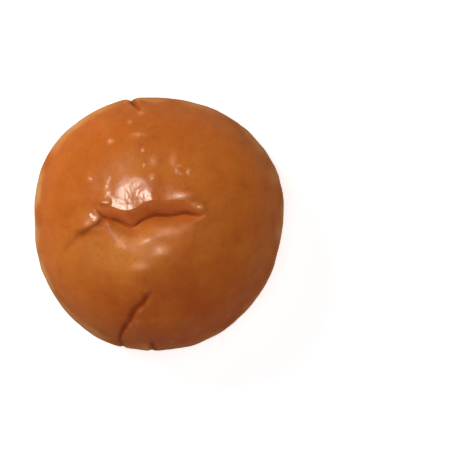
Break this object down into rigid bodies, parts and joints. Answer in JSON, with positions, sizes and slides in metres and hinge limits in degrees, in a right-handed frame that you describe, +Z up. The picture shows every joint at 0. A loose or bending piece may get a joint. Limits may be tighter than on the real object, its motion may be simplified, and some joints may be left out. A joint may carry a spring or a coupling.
{
  "type": "cream bun",
  "caption": "Round, whole cream bun with a glossy browned crust, a sunken, folded crown, creased sides and a flat base.",
  "frame": {"origin": "on the ground under the middle of the bun's outline", "axes": "+Z up through the crown; +Y towards the top of the picture, which looks straight down; +X towards its right"},
  "size_m": [0.098, 0.0998, 0.0464],
  "materials": {
    "crust": "semi-gloss"
  },
  "bodies": {
    "root": {"bun": "crust"}
  },
  "joints": []
}
